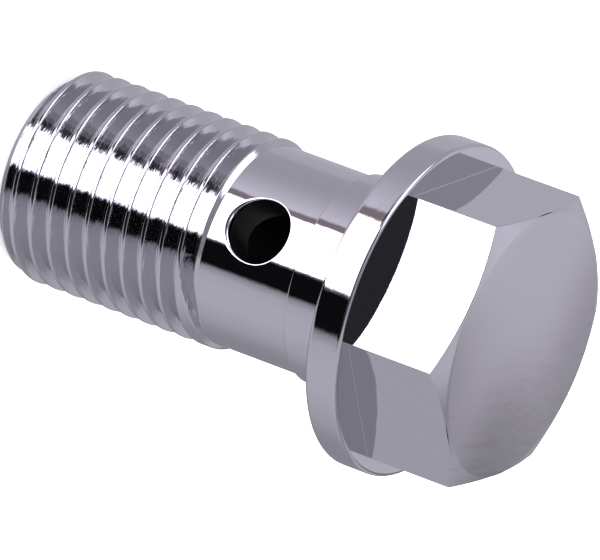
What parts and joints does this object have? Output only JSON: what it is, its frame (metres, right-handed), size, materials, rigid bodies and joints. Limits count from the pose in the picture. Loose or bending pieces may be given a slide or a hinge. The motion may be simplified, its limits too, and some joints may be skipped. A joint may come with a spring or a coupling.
{
  "type": "banjo bolt",
  "caption": "Chromed hollow flange bolt with a hexagon head and a cross-drilled neck, which clamps a banjo fitting and carries fluid into it.",
  "frame": {"origin": "centre of the threaded tip's end face, on which the bolt stands", "axes": "+Z along the bolt's axis from the tip to the head, Y along the cross hole"},
  "size_m": [0.0156, 0.0156, 0.0255],
  "materials": {
    "chromed_steel": "bright decorative chrome plate on turned steel, satin on the end face"
  },
  "bodies": {
    "root": {"banjo_bolt": "chromed_steel"}
  },
  "joints": []
}
